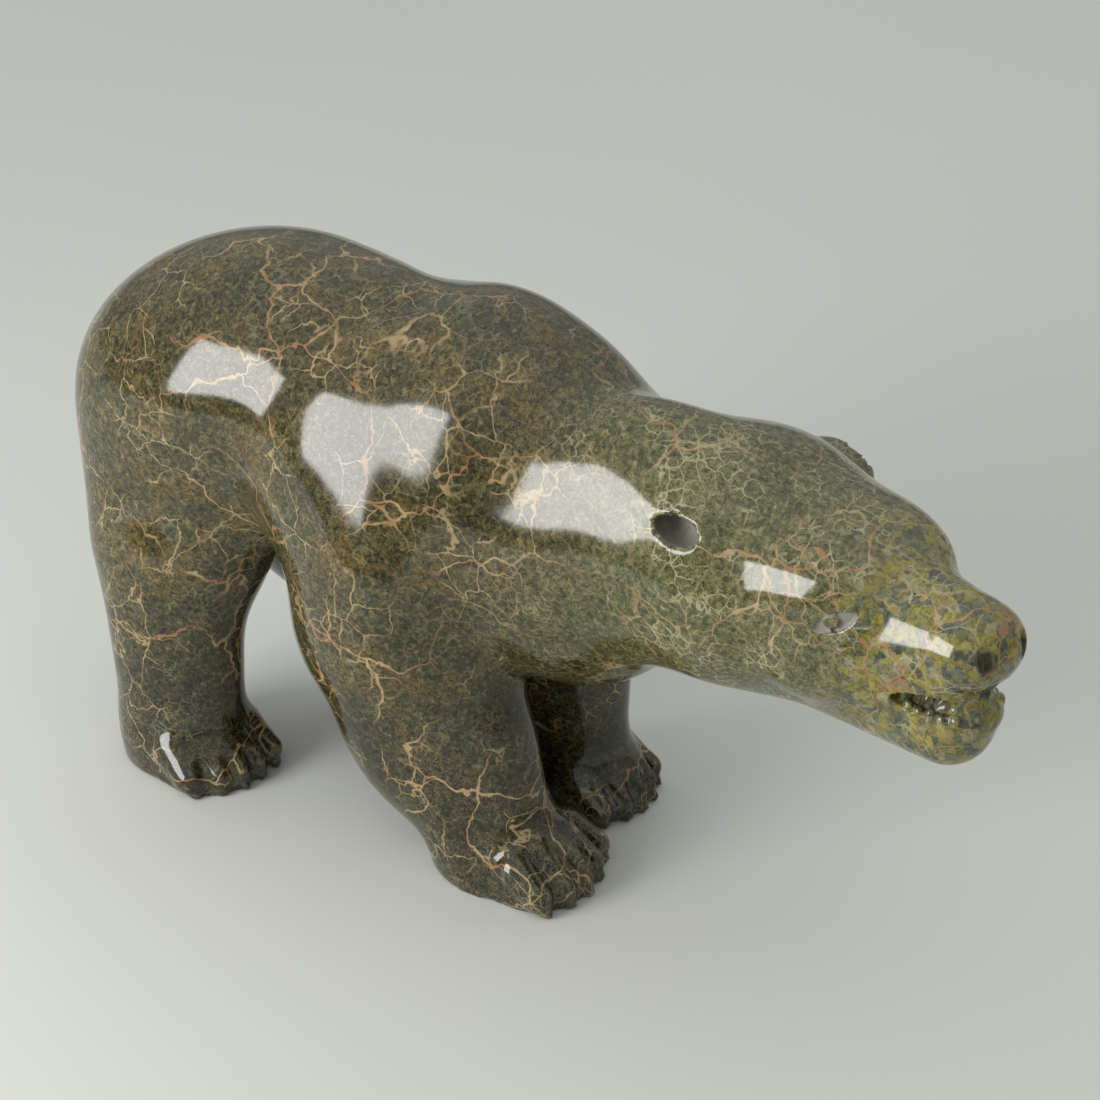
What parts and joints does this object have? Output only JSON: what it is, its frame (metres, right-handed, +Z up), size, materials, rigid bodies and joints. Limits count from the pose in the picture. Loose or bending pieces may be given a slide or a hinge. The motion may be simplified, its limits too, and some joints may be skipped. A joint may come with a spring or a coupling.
{
  "type": "stone bear carving",
  "caption": "Polished soapstone carving of a walking bear, head turned to its right with the mouth open, standing on four flat-soled paws.",
  "frame": {"origin": "centre of the footprint of the bounding box, on the plane of the soles", "axes": "X forward along the spine towards the head, Y to the bear's left, Z up"},
  "size_m": [0.5004, 0.151, 0.2732],
  "materials": {
    "soapstone": "polished, mottled dark olive with tan veins"
  },
  "bodies": {
    "root": {"bear": "soapstone"}
  },
  "joints": []
}
